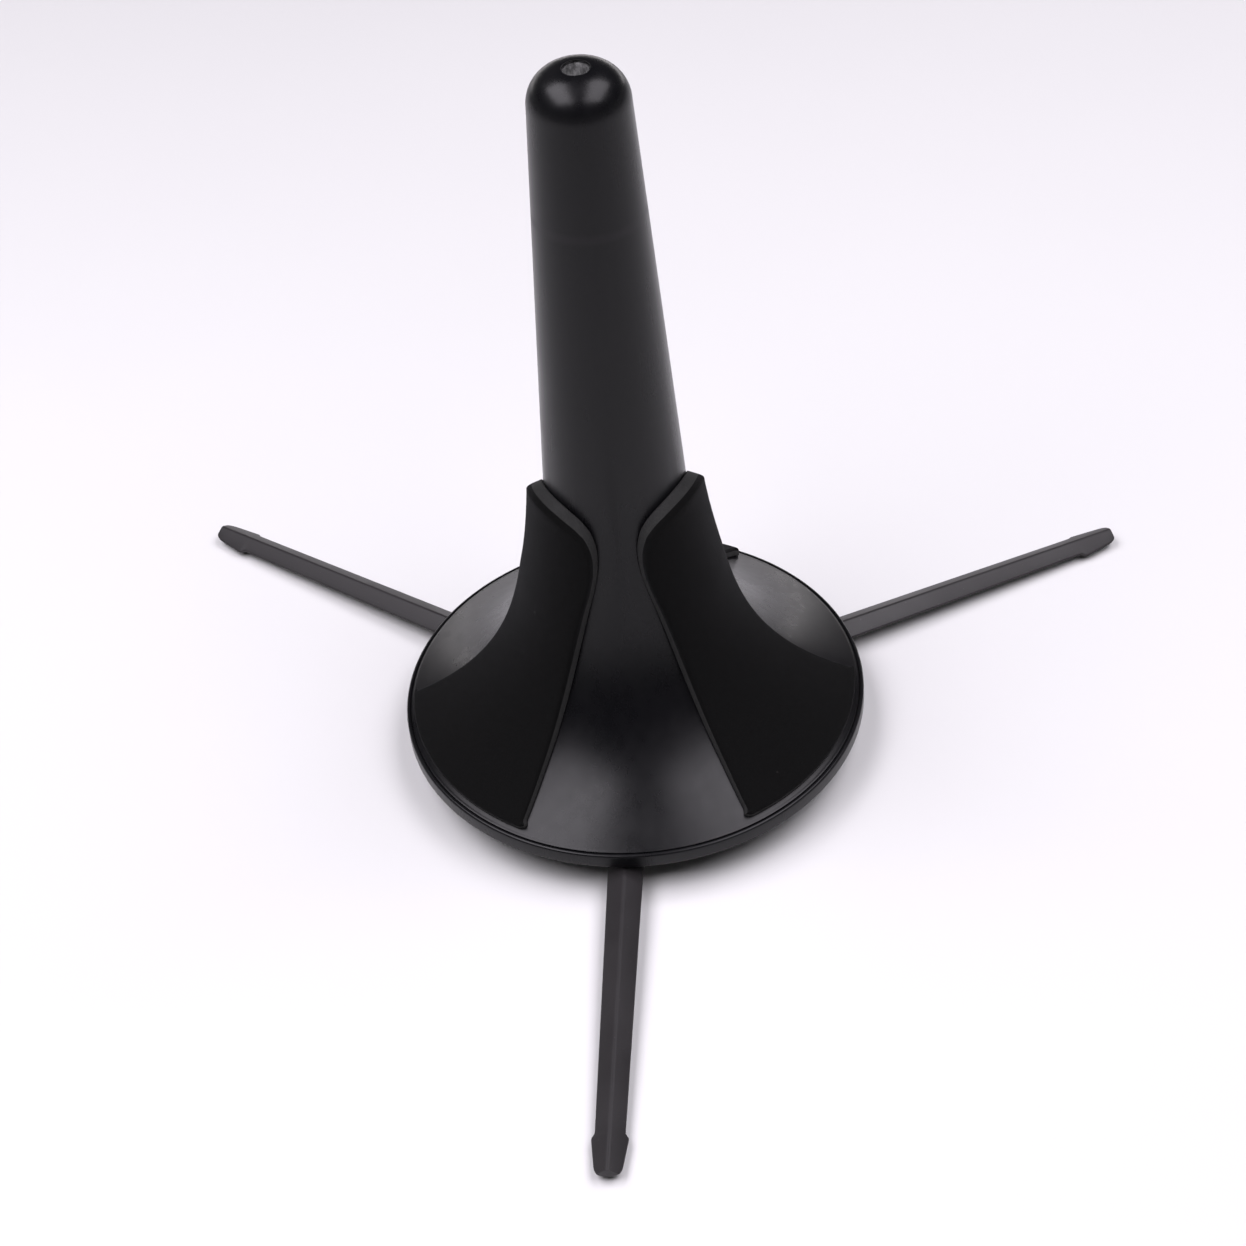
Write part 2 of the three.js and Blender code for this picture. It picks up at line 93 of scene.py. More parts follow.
RIB_FOOT = 8
TURN_STEPS = 192

LEG_ANGLES = {"front": -96.1, "right": 22, "left": 141.5}
RIB_ANGLES = (-38, 82, 202)
PAD_ANGLES = {"right": -33, "back": 87, "left": 207}

PAD_RIM_THICKNESS = 1.7
PAD_TOP_THICKNESS = 3.9
PAD_FULL_HEIGHT = 45
PAD_LIFT = 0.12  # the glue line under a pad
PAD_SHOULDER = 0.55  # the rounding of a pad's edge
# A pad's walls lean in by this much for each mm off the shell, at its sides and at its top
PAD_SIDE_LEAN = 0.15
PAD_TOP_LEAN = 0.5
PAD_SPACING = 1.5  # between the points over a pad
PAD_CORNER = 1.2  # the rounding of a pad's bottom corners
# Up a pad's wall, as shares of its thickness, and how far the outline is set in there
PAD_WALL = [(0.0, 0.3), (0.05, 0.06), (0.12, 0.0), (0.3, 0.0), (0.5, 0.0), (0.68, 0.02)]
PAD_SHOULDER_ANGLES = (25, 50, 70, 90)
# Half of a pad's outline: height above the rim's bottom edge, and degrees from the pad's middle
PAD_OUTLINE = [
    (4.5, 30.8), (14, 30), (26, 30.6), (36, 33), (45, 37.1), (54, 43), (59, 45.2),
    (63.5, 45), (67.3, 41.6), (70.3, 34.4), (72.5, 22.2), (73.6, 10), (73.9, 0),
]

PIVOT_RADIUS = 5.6  # from the stand's axis to a hinge pin
PIVOT_HEIGHT = 4.6
LEG_DROOP = math.radians(2.5)
LEG_LENGTH = 131.4
LEG_WIDE_START = 4.8
TONGUE_HALF = 3
EYE_RADIUS = 2.5
EYE_BORE = 1.3
EYE_CHAMFER = 0.25
EYE_STEPS = 48
FACE_SET_IN = 0.3  # a leg's flat faces, in from where three folded legs would meet
RIDGE_ROUNDING = 1.05
SIDE_ROUNDING = 0.45
# From the ridge to the round underside of a leg, at distances back from its end
LEG_DEPTHS = [
    (LEG_LENGTH, 5.8), (11.1, 4.26), (10.4, 4.32), (10.0, 4.62), (9.6, 4.98), (9.1, 5.08),
    (2.1, 4.09), (1.2, 3.85), (0.5, 3.5), (0.15, 3.22), (0, 2.95),
]
# Where a leg's sections stand: out from its pin at the root, and back from its end at the foot
ROOT_SECTIONS = (0.4, 1.5, 3.0, LEG_WIDE_START)
PLAIN_SECTIONS = 20
FOOT_START = 12
FOOT_SECTIONS = (11.1, 10.7, 10.4, 10.2, 10, 9.8, 9.6, 9.4, 9.1, 8, 6, 4, 2.1)
END_SECTIONS = (1.6, 1.2, 0.8, 0.5, 0.3, 0.15, 0.05, 0)

HUB_EDGE_ROUNDING = 0.2
SHARP_ANGLE = 35  # degrees over which an edge stays sharp

# ---------------------------------------------------------------- helpers


def new_piece(name, points, faces, body, sharp_angle=SHARP_ANGLE):
    """A mesh piece from points in mm, smooth except over sharp edges, riding on a body."""
    mesh = bpy.data.meshes.new(name)
    mesh.from_pydata([[v * MM for v in p] for p in points], [], faces)
    mesh.validate()
    cleaned = bmesh.new()
    cleaned.from_mesh(mesh)
    bmesh.ops.recalc_face_normals(cleaned, faces=cleaned.faces)
    cleaned.to_mesh(mesh)
    cleaned.free()
    mesh.shade_smooth()
    mesh.set_sharp_from_angle(angle=math.radians(sharp_angle))
    piece = bpy.data.objects.new(name, mesh)
    bpy.context.scene.collection.objects.link(piece)
    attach(piece, body)
    return piece


def weld(mesh, distance):
    """Joins the points of a mesh that lie within a distance, in metres, and turns its faces out."""
    welded = bmesh.new()
    welded.from_mesh(mesh)
    bmesh.ops.remove_doubles(welded, verts=welded.verts, dist=distance)
    bmesh.ops.recalc_face_normals(welded, faces=welded.faces)
    welded.to_mesh(mesh)
    welded.free()


class Shape:
    """Points and faces gathered for one piece."""

    def __init__(self):
        self.points = []
        self.faces = []

    def add(self, points, faces):
        start = len(self.points)
        self.points.extend(points)
        self.faces.extend([tuple(start + i for i in face) for face in faces])

    def add_rings(self, rings, closed_rings=True, closed_around=False):
        """Joins rings of equal length one to the next."""
        count = len(rings[0])
        points = [p for ring in rings for p in ring]
        faces = []
        spans = len(rings) if closed_around else len(rings) - 1
        for i in range(spans):
            a, b = i * count, (i + 1) % len(rings) * count
            for j in range(count if closed_rings else count - 1):
                k = (j + 1) % count
                faces.append((a + j, a + k, b + k, b + j))
        self.add(points, faces)

    def add_bar(self, rings):
        """Joins rings of equal length, and closes the first and the last with a face."""
        count = len(rings[0])
        first = len(self.points)
        self.add_rings(rings)
        last = len(self.points) - count
        self.faces.append(tuple(range(first, first + count)))
        self.faces.append(tuple(range(last, last + count)))


def arc(centre_r, centre_z, radius, start, end, steps):
    """Points round an arc, from and to angles in degrees."""
    angles = np.radians(np.linspace(start, end, steps + 1))
    return [(centre_r + radius * math.cos(a), centre_z + radius * math.sin(a)) for a in angles]


def turned(profile):
    """A (radius, height) profile turned about Z, one line of points for each step."""
    rings = []
    for i in range(TURN_STEPS):
        angle = 2 * math.pi * i / TURN_STEPS
        rings.append([(r * math.cos(angle), r * math.sin(angle), z) for r, z in profile])
    return rings


def spun(points, degrees):
    """Points turned about Z."""
    c, s = math.cos(math.radians(degrees)), math.sin(math.radians(degrees))
    return [(c * x - s * y, s * x + c * y, z) for x, y, z in points]


# ---------------------------------------------------------------- the shell's shape


def taper_radius(height):
    return PEG_RADIUS_AT_TOP + (PEG_HEIGHT - height) * TAPER


def shell_radius(height):
    flare = math.exp(-height / FLARE_DECAY) - math.exp(-NECK / FLARE_DECAY)
    return taper_radius(height) + max(0, FLARE_SPREAD * flare)


def off_shell(height, distance):
    """A point off the shell's surface, as (radius, z), at a height above the rim's bottom edge."""
    step = 0.05
    slope = (shell_radius(height + step) - shell_radius(height - step)) / (2 * step)
    size = math.hypot(1, slope)
    return (
        shell_radius(height) + distance / size,
        RIM_BOTTOM + height - distance * slope / size,
    )


def heights_down(top, bottom, count):
    """Heights down the flare, closer together where it curves most."""
    return [top + (bottom - top) * (1 - (1 - i / count) ** 1.8) for i in range(count + 1)]


def peg_outside():
    """The profile from the middle of the top down to the rim's bottom edge."""
    dome_centre = taper_radius(PEG_HEIGHT - DOME_RADIUS) - DOME_RADIUS
    groove = shell_radius(FLARE_END)
    band = groove + GROOVE_WIDTH
    band_top = RIM_BOTTOM + FLARE_END - GROOVE_DEPTH / 3
    floor = band_top - GROOVE_DEPTH
    lip_r, lip_z = off_shell(FLARE_END + GROOVE_EDGE, 0)
    taper_top = PEG_HEIGHT - DOME_RADIUS - 1
    taper = [(taper_radius(h), RIM_BOTTOM + h) for h in np.linspace(taper_top, NECK, 24)]
    return [
        (0, PEG_TOP - RECESS_DEPTH),
        (RECESS_RADIUS - 0.15, PEG_TOP - RECESS_DEPTH),
        (RECESS_RADIUS, PEG_TOP - RECESS_DEPTH + 0.1),
        *arc(RECESS_RADIUS + RECESS_EDGE + 0.1, PEG_TOP - RECESS_EDGE, RECESS_EDGE, 180, 90, 4),
        *arc(dome_centre, PEG_TOP - DOME_RADIUS, DOME_RADIUS, 90, 3, 16),
        *taper,
        *[off_shell(h, 0) for h in heights_down(NECK - 1, FLARE_END + GROOVE_EDGE, 56)],
        (lip_r + 0.1, lip_z - 0.1),
        (groove + 0.07, lip_z - 0.24),
        (groove + 0.13, floor),
        (band - 0.13, floor),
        (band - 0.06, band_top - 0.08),
        (band, band_top),
        *arc(RIM_RADIUS - BAND_ROUNDING, band_top - BAND_ROUNDING, BAND_ROUNDING, 90, 0, 10),
        (RIM_RADIUS, RIM_BOTTOM + RIM_CHAMFER),
        *arc(RIM_RADIUS - RIM_CHAMFER, RIM_BOTTOM + RIM_CHAMFER, RIM_CHAMFER, -15, -90, 5),
    ]


def peg_inside():
    """The profile from the rim's inner edge, round the socket and up the bore to its end."""
    hollow = [off_shell(h, -SKIRT_WALL) for h in heights_down(SKIRT_HOLLOW_TOP, FLARE_END, 30)]
    return [
        (RIM_RADIUS - SKIRT_WALL, RIM_BOTTOM),
        *hollow[::-1],
        (SOCKET_OUTER, RIM_BOTTOM + SKIRT_HOLLOW_TOP),
        (SOCKET_OUTER, SOCKET_BOTTOM + SOCKET_CHAMFER),
        (SOCKET_OUTER - SOCKET_CHAMFER, SOCKET_BOTTOM),
        (SOCKET_RADIUS + SOCKET_CHAMFER, SOCKET_BOTTOM),
        (SOCKET_RADIUS, SOCKET_BOTTOM + SOCKET_CHAMFER),
        (SOCKET_RADIUS, RIM_BOTTOM + SOCKET_TOP),
        (taper_radius(BORE_START) - WALL, RIM_BOTTOM + BORE_START),
        (taper_radius(BORE_END) - WALL, RIM_BOTTOM + BORE_END),
        (taper_radius(BORE_END) - WALL - BORE_CHAMFER / 2, RIM_BOTTOM + BORE_END + BORE_CHAMFER),
        (0, PEG_TOP - RECESS_DEPTH - WALL),
    ]


def make_peg():
    """The turned shell, with its keys and ribs set in it."""
    shape = Shape()
    profile = peg_outside() + peg_inside()
    shape.add_rings(turned(profile), closed_rings=False, closed_around=True)
    key_outer = (SOCKET_RADIUS + SOCKET_OUTER) / 2
    for angle in LEG_ANGLES.values():
        add_key(shape, angle, KEY_INNER, key_outer)
    for angle in RIB_ANGLES:
        add_rib(shape, angle, key_outer)
    piece = new_piece("peg", shape.points, shape.faces, "peg")
    weld(piece.data, 1e-7)
    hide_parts("peg_shell")
    return piece


def add_key(shape, angle, inner, outer):
    """An upright key inside the socket, with its inner edges cut off."""
    half = KEY_WIDTH / 2
    cut = KEY_CHAMFER
    outline = [
        (outer, -half), (inner + cut, -half), (inner, -half + cut),
        (inner, half - cut), (inner + cut, half), (outer, half),
    ]
    ends = (SOCKET_BOTTOM + SOCKET_CHAMFER, KEY_TOP)
    shape.add_bar([spun([(x, y, z) for x, y in outline], angle) for z in ends])


def add_rib(shape, angle, inner):
    """A thin rib between the socket and the underside of the skirt."""
    outline = [(inner, RIM_BOTTOM + RIB_BOTTOM)]
    outline.append((off_shell(RIB_FOOT, -SKIRT_WALL / 2)[0], RIM_BOTTOM + RIB_BOTTOM))
    outline += [off_shell(h, -SKIRT_WALL / 2) for h in heights_down(SOCKET_TOP, RIB_FOOT, 12)[::-1]]
    outline.append((inner, RIM_BOTTOM + SOCKET_TOP))
    sides = (-RIB_THICKNESS / 2, RIB_THICKNESS / 2)
    shape.add_bar([spun([(r, y, z) for r, z in outline], angle) for y in sides])


# ---------------------------------------------------------------- pads


def pad_thickness(height):
    share = min(1, height / PAD_FULL_HEIGHT)
    return PAD_RIM_THICKNESS + (PAD_TOP_THICKNESS - PAD_RIM_THICKNESS) * share


# The pads are laid out flat, as (distance across, distance up the shell), then bent over it.
FLAT_HEIGHTS = np.linspace(3.5, 80, 766)
FLAT_RADII = np.array([shell_radius(h) for h in FLAT_HEIGHTS])
FLAT_STEPS = np.hypot(np.diff(FLAT_HEIGHTS), np.diff(FLAT_RADII))
FLAT_LENGTHS = np.concatenate([[0], np.cumsum(FLAT_STEPS)])


def to_flat(height, degrees):
    along = np.interp(height, FLAT_HEIGHTS, FLAT_LENGTHS)
    return np.array([math.radians(degrees) * np.interp(height, FLAT_HEIGHTS, FLAT_RADII), along])


def from_flat(point, distance, turn):
    """The place over the shell of a flat point, at a distance off the shell."""
    height = float(np.interp(point[1], FLAT_LENGTHS, FLAT_HEIGHTS))
    angle = point[0] / shell_radius(height) + turn
    r, z = off_shell(height, distance)
    return (r * math.cos(angle), r * math.sin(angle), z)


def lifted(point, share, turn):
    """A flat point over the shell, at a share of the pad's thickness there."""
    height = float(np.interp(point[1], FLAT_LENGTHS, FLAT_HEIGHTS))
    return from_flat(point, PAD_LIFT + (pad_thickness(height) - PAD_LIFT) * share, turn)


def smooth_line(points, steps):
    """A curve through points, with its direction at each taken from its neighbours."""
    points = np.array(points, float)
    lengths = np.sqrt(np.linalg.norm(np.diff(points, axis=0), axis=1))
    at = np.concatenate([[0], np.cumsum(lengths)])
    slopes = np.gradient(points, at, axis=0)
    out = []
    for i in range(len(points) - 1):
        width = at[i + 1] - at[i]
        for t in np.arange(steps) / steps:
            out.append(
                (2 * t**3 - 3 * t**2 + 1) * points[i] + (t**3 - 2 * t**2 + t) * width * slopes[i]
                + (3 * t**2 - 2 * t**3) * points[i + 1] + (t**3 - t**2) * width * slopes[i + 1]
            )
    out.append(points[-1])
    return out


def pad_edge():
    """The closed outline of a pad in flat coordinates, with rounded bottom corners, evenly spaced."""
    half = [to_flat(h, d) for h, d in smooth_line(PAD_OUTLINE, 8)]
    low = half[0]
    side = [p for p in half if p[1] > low[1] + PAD_CORNER]
    curve = [
        low + np.array([-PAD_CORNER * (1 - math.sin(a)), PAD_CORNER * (1 - math.cos(a))])
        for a in np.radians(np.linspace(0, 90, 6))
    ]
    right = curve + side
    left = [p * np.array([-1, 1]) for p in right[-2::-1]]
    return resampled(np.array(right + left), PAD_SPACING / 2)


def resampled(loop, spacing):
    """A loop's points spread evenly along it."""
    closed = np.vstack([loop, loop[:1]])
    at = np.concatenate([[0], np.cumsum(np.linalg.norm(np.diff(closed, axis=0), axis=1))])
    count = round(at[-1] / spacing)
    want = np.linspace(0, at[-1], count, endpoint=False)
    return np.stack([np.interp(want, at, closed[:, i]) for i in (0, 1)], axis=1)


def directions(loop):
    """The direction along a loop at each of its points."""
    along = np.roll(loop, -1, axis=0) - np.roll(loop, 1, axis=0)
    return along / np.linalg.norm(along, axis=1)[:, None]


def inset(loop, distance):
    """A loop moved inwards, by one distance or one for each point."""
    along = directions(loop)
    return loop + np.stack([-along[:, 1], along[:, 0]], axis=1) * distance


def inside_points(loop, spacing, margin):
    """Points of a triangular grid inside a loop, at least a margin from it."""
    low, high = loop.min(0), loop.max(0)
    found = []
    for j, y in enumerate(np.arange(low[1], high[1], spacing * math.sqrt(3) / 2)):
        for x in np.arange(low[0] + (j % 2) * spacing / 2, high[0], spacing):
            point = np.array([x, y])
            if np.linalg.norm(loop - point, axis=1).min() < margin:
                continue
            a, b = loop, np.roll(loop, -1, axis=0)
            crosses = (a[:, 1] > y) != (b[:, 1] > y)
            rise = np.where(b[:, 1] == a[:, 1], 1, b[:, 1] - a[:, 1])
            where = (b[:, 0] - a[:, 0]) * (y - a[:, 1]) / rise + a[:, 0]
            if (crosses & (x < where)).sum() % 2:
                found.append(point)
    return found


def pad_ring(edge, share, rounding):
    """The outline at a share of the pad's thickness, set in by the walls' lean and a rounding."""
    heights = np.interp(edge[:, 1], FLAT_LENGTHS, FLAT_HEIGHTS)
    facing_up = np.maximum(0, -directions(edge)[:, 0])
    leans = PAD_SIDE_LEAN + (PAD_TOP_LEAN - PAD_SIDE_LEAN) * facing_up
    thicknesses = np.array([pad_thickness(h) for h in heights])
    return inset(edge, (leans * thicknesses * share)[:, None] + rounding)


def pad_sheet(shape, loop, spacing, share, turn):
    """A smooth sheet of triangles inside a loop, at a share of the pad's thickness."""
    count = len(loop)
    grid = inside_points(loop, spacing, spacing * 0.55)
    flat = [Vector(p) for p in loop] + [Vector(p) for p in grid]
    made = delaunay_2d_cdt(flat, [(i, (i + 1) % count) for i in range(count)], [], 1, 1e-6)
    shape.add([lifted(np.array(p), share, turn) for p in made[0]], [tuple(f) for f in made[2]])


def make_pad(side, degrees):
    """A foam pad with a velvet face: walls that lean in, a rounded shoulder and a smooth face."""
    turn = math.radians(degrees)
    edge = pad_edge()
    shape = Shape()
    wall_top, wall_inset = PAD_WALL[-1]
    shoulder = [
        (wall_top + (1 - wall_top) * math.sin(a), wall_inset + PAD_SHOULDER * (1 - math.cos(a)))
        for a in np.radians(PAD_SHOULDER_ANGLES)
    ]
    levels = PAD_WALL + shoulder
    rings = [pad_ring(edge, share, rounding) for share, rounding in levels]
    shape.add_rings([
        [lifted(p, share, turn) for p in ring] for ring, (share, _) in zip(rings, levels)
    ])
    wall_faces = len(edge) * (len(PAD_WALL) - 1)
    pad_sheet(shape, rings[-1], PAD_SPACING, 1.0, turn)
    pad_sheet(shape, rings[0], 2 * PAD_SPACING, 0.0, turn)
    piece = new_piece(f"pad_{side}", shape.points, shape.faces, "peg", sharp_angle=60)
    piece.data.materials.append(velvet)
    piece.data.materials.append(pad_wall_painted_highlight)
    # The walls get the lighter pad-edge material, a painted highlight for the light they catch
    for face in piece.data.polygons[:wall_faces]:
        face.material_index = 1
    weld(piece.data, 2e-6)
    piece.data.shade_smooth()
    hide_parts(f"pad_core_{side}", f"pad_velvet_{side}")


# ---------------------------------------------------------------- legs


def leg_section(depth):
    """Half of a leg's outline as (across, up), from the ridge to the middle of the underside."""
    centre = PIVOT_RADIUS
    slope = math.radians(30)
    ridge_z = centre - FACE_SET_IN
    ridge_centre = ridge_z - RIDGE_ROUNDING / math.cos(slope)
    points = [
        (RIDGE_ROUNDING * math.sin(a), ridge_centre + RIDGE_ROUNDING * math.cos(a))
        for a in np.linspace(0, slope, 5)
    ]
    reach = depth - SIDE_ROUNDING
    drop = FACE_SET_IN + SIDE_ROUNDING / math.cos(slope)
    a, b, c = 4 / 3, 2 * drop / math.sqrt(3), drop**2 - reach**2
    across = (-b + math.sqrt(b * b - 4 * a * c)) / (2 * a)
    up = centre - drop - across / math.sqrt(3)
    turn_end = math.atan2(up - centre, across)
    points += [
        (across + SIDE_ROUNDING * math.cos(t), up + SIDE_ROUNDING * math.sin(t))
        for t in np.linspace(math.radians(60), turn_end, 6)
    ]
    points += [
        (depth * math.cos(t), centre + depth * math.sin(t))
        for t in np.linspace(turn_end, -math.pi / 2, 12)[1:]
    ]
    return points


def placed_on_leg(x, y, z, angle):
    """A point of the leg's own frame (X out from the pin, Z up) in the stand's frame."""
    c, s = math.cos(LEG_DROOP), math.sin(LEG_DROOP)
    out = PIVOT_RADIUS + c * x + s * z
    up = PIVOT_HEIGHT - s * x + c * z
    return spun([(out, y, max(0.0, up))], angle)[0]


def leg_ring(x, angle, half_width=math.inf):
    """A leg's section at a distance out from its pin, no wider than a half width."""
    depth = float(np.interp(LEG_LENGTH - x, *zip(*LEG_DEPTHS[::-1])))
    half = leg_section(depth)
    outline = half + [(-y, z) for y, z in half[-2:0:-1]]
    kept = [(max(-half_width, min(half_width, y)), z) for y, z in outline]
    return [placed_on_leg(x, y, z, angle) for y, z in kept]


def make_leg(side, angle):
    """A leg: a narrow tongue at the root, a plain tapering bar and a barbed foot."""
    shape = Shape()
    plain = list(np.linspace(LEG_WIDE_START, LEG_LENGTH - FOOT_START, PLAIN_SECTIONS))
    foot = [LEG_LENGTH - back for back in FOOT_SECTIONS + END_SECTIONS]
    rings = [leg_ring(x, angle, TONGUE_HALF) for x in ROOT_SECTIONS]
    rings += [leg_ring(x, angle) for x in plain + foot]
    shape.add_bar(rings)
    add_eye(shape, angle)
    piece = new_piece(
        f"leg_body_{side}", shape.points, shape.faces, f"leg_{side}", sharp_angle=32
    )
    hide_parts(f"leg_{side}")
    return piece


def add_eye(shape, angle):
    """The round end of a leg, with the hole for its pin and slightly rounded edges."""
    cut = EYE_CHAMFER
    profile = [
        (EYE_BORE, -TONGUE_HALF), (EYE_RADIUS - cut, -TONGUE_HALF), (EYE_RADIUS, -TONGUE_HALF + cut),
        (EYE_RADIUS, TONGUE_HALF - cut), (EYE_RADIUS - cut, TONGUE_HALF), (EYE_BORE, TONGUE_HALF),
    ]
    rings = []
    for t in np.linspace(0, 2 * math.pi, EYE_STEPS, endpoint=False):
        around = [(r * math.cos(t), y, r * math.sin(t)) for r, y in profile]
        rings.append([placed_on_leg(*point, angle) for point in around])
    shape.add_rings(rings, closed_around=True)


# ---------------------------------------------------------------- the hub and its small parts


def make_softened(node, name, body):
    """A piece with the shape of a node of the frame, its edges rounded, its round faces smooth."""
    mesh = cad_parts[node].data.copy()
    mesh.name = name
    tidy = bmesh.new()
    tidy.from_mesh(mesh)
    bmesh.ops.remove_doubles(tidy, verts=tidy.verts, dist=1e-6)
    bmesh.ops.dissolve_limit(tidy, angle_limit=math.radians(1), verts=tidy.verts, edges=tidy.edges)
    bmesh.ops.recalc_face_normals(tidy, faces=tidy.faces)
    tidy.to_mesh(mesh)
    tidy.free()
    mesh.materials.clear()
    mesh.shade_smooth()
    mesh.set_sharp_from_angle(angle=math.radians(SHARP_ANGLE))
    piece = bpy.data.objects.new(name, mesh)
    bpy.context.scene.collection.objects.link(piece)
    bevel = piece.modifiers.new("Rounded edges", "BEVEL")
    bevel.width = HUB_EDGE_ROUNDING * MM
    bevel.segments = 2
    bevel.limit_method = "ANGLE"
    bevel.angle_limit = math.radians(40)
    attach(piece, body)
    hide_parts(node)
    return piece


# ---------------------------------------------------------------- materials


def set_stops(ramp, stops):
    """Gives a new colour ramp its (position, grey) stops."""
    while len(ramp.elements) < len(stops):
        ramp.elements.new(0.5)
    for element, (position, grey) in zip(ramp.elements, stops):
        element.position = position
        element.color = (grey, grey, grey, 1)


class Nodes:
    """Builds one material's nodes."""

    def __init__(self, name):
        self.material = bpy.data.materials.new(name)
        self.material.use_nodes = True
        self.tree = self.material.node_tree
        self.shader = self.tree.nodes["Principled BSDF"]
        self.place = self.new("ShaderNodeTexCoord").outputs["Object"]

    def new(self, kind, **settings):
        """A node of a kind, with its settings."""
        node = self.tree.nodes.new(kind)
        for key, value in settings.items():
            setattr(node, key, value)
        return node

    def link(self, output, socket):
        self.tree.links.new(output, socket)

    def noise(self, scale, detail=3, stretch=(1, 1, 1), rough=0.5):
        mapping = self.new("ShaderNodeMapping")
        mapping.inputs["Scale"].default_value = stretch
        self.link(self.place, mapping.inputs["Vector"])
        node = self.new("ShaderNodeTexNoise")
        node.inputs["Scale"].default_value = scale
        node.inputs["Detail"].default_value = detail
        node.inputs["Roughness"].default_value = rough
        self.link(mapping.outputs["Vector"], node.inputs["Vector"])
        return node.outputs["Fac"]

    def ramp(self, value, stops):
        """Maps a value through (position, grey) stops."""
        node = self.new("ShaderNodeValToRGB")
        set_stops(node.color_ramp, stops)
        self.link(value, node.inputs["Fac"])
        return node.outputs["Color"]

    def between(self, value, low, high, out_low, out_high):
        """Maps a value's range from low to high onto another range, and keeps to its ends."""
        node = self.new("ShaderNodeMapRange", clamp=True)
        sockets = ("From Min", "From Max", "To Min", "To Max")
        for key, number in zip(sockets, (low, high, out_low, out_high)):
            node.inputs[key].default_value = number
        self.link(value, node.inputs["Value"])
        return node.outputs["Result"]

    def maths(self, kind, a, b):
        node = self.new("ShaderNodeMath", operation=kind)
        for socket, value in zip(node.inputs, (a, b)):
            if isinstance(value, (int, float)):
                socket.default_value = value
            else:
                self.link(value, socket)
        return node.outputs["Value"]

    def mix(self, factor, a, b):
        node = self.new("ShaderNodeMix", data_type="RGBA")
        for key, value in (("Factor", factor), ("A", a), ("B", b)):
            socket = next(s for s in node.inputs if s.name == key and s.enabled)
            if isinstance(value, tuple):
                socket.default_value = (*value, 1)
            else:
                self.link(value, socket)
        return next(s for s in node.outputs if s.enabled)

    def bump(self, height, strength, distance, normal=None):
        node = self.new("ShaderNodeBump")
        node.inputs["Strength"].default_value = strength
        node.inputs["Distance"].default_value = distance
        self.link(height, node.inputs["Height"])
        if normal is not None:
            self.link(normal, node.inputs["Normal"])
        return node.outputs["Normal"]

    def finish(self, colour, roughness, normal, **constants):
        self.link(colour, self.shader.inputs["Base Color"])
        self.link(roughness, self.shader.inputs["Roughness"])
        self.link(normal, self.shader.inputs["Normal"])
        for key, value in constants.items():
            self.shader.inputs[key.replace("_", " ")].default_value = value
        return self.material


def make_shell_plastic():
    """Satin black moulded plastic, with soft smudges, a fine grain and a few rubbed marks."""
    n = Nodes("Peg plastic")
    smudge = n.noise(38, 4)
    streak = n.noise(420, 3, (1, 1, 0.06))
    grain = n.noise(5200, 2)
    marks = n.noise(700, 3, (1, 1, 0.09), 0.6)
    patch = n.noise(60, 2)
    rubbed_here = n.between(patch, 0.58, 0.68, 0, 1)
    rubbed = n.maths("MULTIPLY", n.between(marks, 0.7, 0.78, 0, 0.5), rubbed_here)
    parts = n.new("ShaderNodeSeparateXYZ")
    n.link(n.place, parts.inputs["Vector"])
    ring_height = (RIM_BOTTOM + FAINT_RING) * MM
    off_ring = n.maths("ABSOLUTE", n.maths("SUBTRACT", parts.outputs["Z"], ring_height), 0)
    ring = n.between(off_ring, 0.0004, 0.0016, 0.5, 0)
    across, along = (n.maths("POWER", parts.outputs[key], 2) for key in ("X", "Y"))
    off_axis = n.maths("ADD", across, along)
    near_axis = n.between(off_axis, (2.7 * MM) ** 2, (3.1 * MM) ** 2, 1, 0)
    at_top = n.between(parts.outputs["Z"], (PEG_TOP - 0.6) * MM, (PEG_TOP - 0.52) * MM, 0, 1)
    vestige = n.maths("MULTIPLY", near_axis, at_top)
    torn = n.noise(900, 5, (1, 0.25, 1), 0.7)
    base = n.mix(n.between(smudge, 0.35, 0.7, 0, 1), (0.0028, 0.0028, 0.0036), (0.0044, 0.0042, 0.0052))
    base = n.mix(rubbed, base, (0.0062, 0.0062, 0.0072))
    base = n.mix(ring, base, (0.012, 0.011, 0.013))
    base = n.mix(vestige, base, n.ramp(torn, [(0.35, 0.012), (0.5, 0.05), (0.68, 0.13)]))
    rough = n.between(smudge, 0.3, 0.72, 0.25, 0.33)
    rough = n.maths("ADD", rough, n.between(streak, 0.3, 0.75, -0.02, 0.035))
    rough = n.maths("ADD", rough, n.maths("MULTIPLY", rubbed, 0.03))
    rough = n.maths("ADD", rough, n.maths("MULTIPLY", ring, 0.12))
    rough = n.maths("ADD", rough, n.maths("MULTIPLY", vestige, 0.2))
    normal = n.bump(grain, 0.12, 0.00004)
    normal = n.bump(streak, 0.02, 0.00006, normal)
    normal = n.bump(n.maths("MULTIPLY", torn, vestige), 0.8, 0.0006, normal)
    return n.finish(base, rough, normal, Specular_IOR_Level=0.24)


def make_leg_plastic():
    """Dark grey moulded plastic, duller than the shell, with long faint flow streaks."""
    n = Nodes("Leg plastic")
    cloud = n.noise(70, 4)
    grain = n.noise(3800, 3)
    marks = n.noise(1500, 2)
    base = n.mix(n.between(cloud, 0.3, 0.72, 0, 1), (0.0125, 0.011, 0.012), (0.018, 0.016, 0.0173))
    base = n.mix(n.between(marks, 0.7, 0.78, 0, 0.5), base, (0.06, 0.056, 0.058))
    rough = n.between(cloud, 0.3, 0.7, 0.42, 0.52)
    normal = n.bump(grain, 0.16, 0.00005)
    normal = n.bump(cloud, 0.1, 0.0004, normal)
    return n.finish(base, rough, normal, Specular_IOR_Level=0.36)


